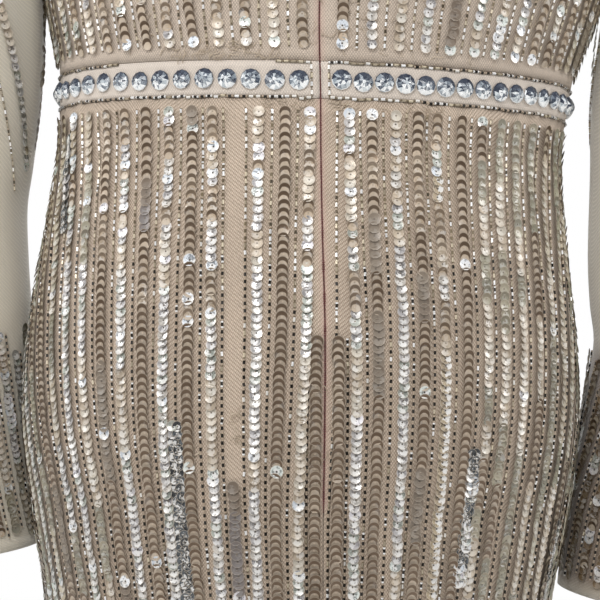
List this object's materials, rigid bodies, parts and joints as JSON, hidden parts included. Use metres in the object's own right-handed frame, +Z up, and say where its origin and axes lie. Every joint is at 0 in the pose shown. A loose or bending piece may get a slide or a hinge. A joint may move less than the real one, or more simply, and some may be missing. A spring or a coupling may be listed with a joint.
{
  "type": "trumpet gown",
  "caption": "Hollow floor-length gown with a fitted body, a flared fluted hem, long net sleeves, a jewelled waistband and a back zip, as worn.",
  "frame": {"origin": "midway between the two shoulder points of the gown, where the wearer carries it", "axes": "+Z up the gown, +Y out of its back, -Y out of its front, +X towards the wearer's left"},
  "size_m": [0.677, 0.6038, 1.4604],
  "materials": {
    "beaded_net": "fine even net over a matt lining",
    "sheer_net": "soft sheer net",
    "crystal": "faceted and foiled",
    "sequin": "cupped, pearl and smoked metallic",
    "bead": "silver-lined cut beads",
    "thread": "sewing thread",
    "zip_tape": "woven tape with a dark red coil",
    "zip_metal": "satin"
  },
  "bodies": {
    "gown": {"bodice_front": "beaded_net", "bodice_back_left": "beaded_net", "bodice_back_right": "beaded_net", "skirt_front": "beaded_net", "skirt_back_left": "beaded_net", "skirt_back_right": "beaded_net", "sleeve_left": "sheer_net", "sleeve_right": "sheer_net", "waistband": "crystal", "zip_tape": "zip_tape", "zip_slider": "zip_metal"},
    "pull": {"zip_pull": "zip_metal"}
  },
  "joints": [
    {"name": "pull_swing", "type": "hinge", "parent": "gown", "child": "pull", "pos_m": [-0.001, 0.06816, -0.02694], "axis": [1, 0, 0], "range_deg": [0, 140]}
  ]
}
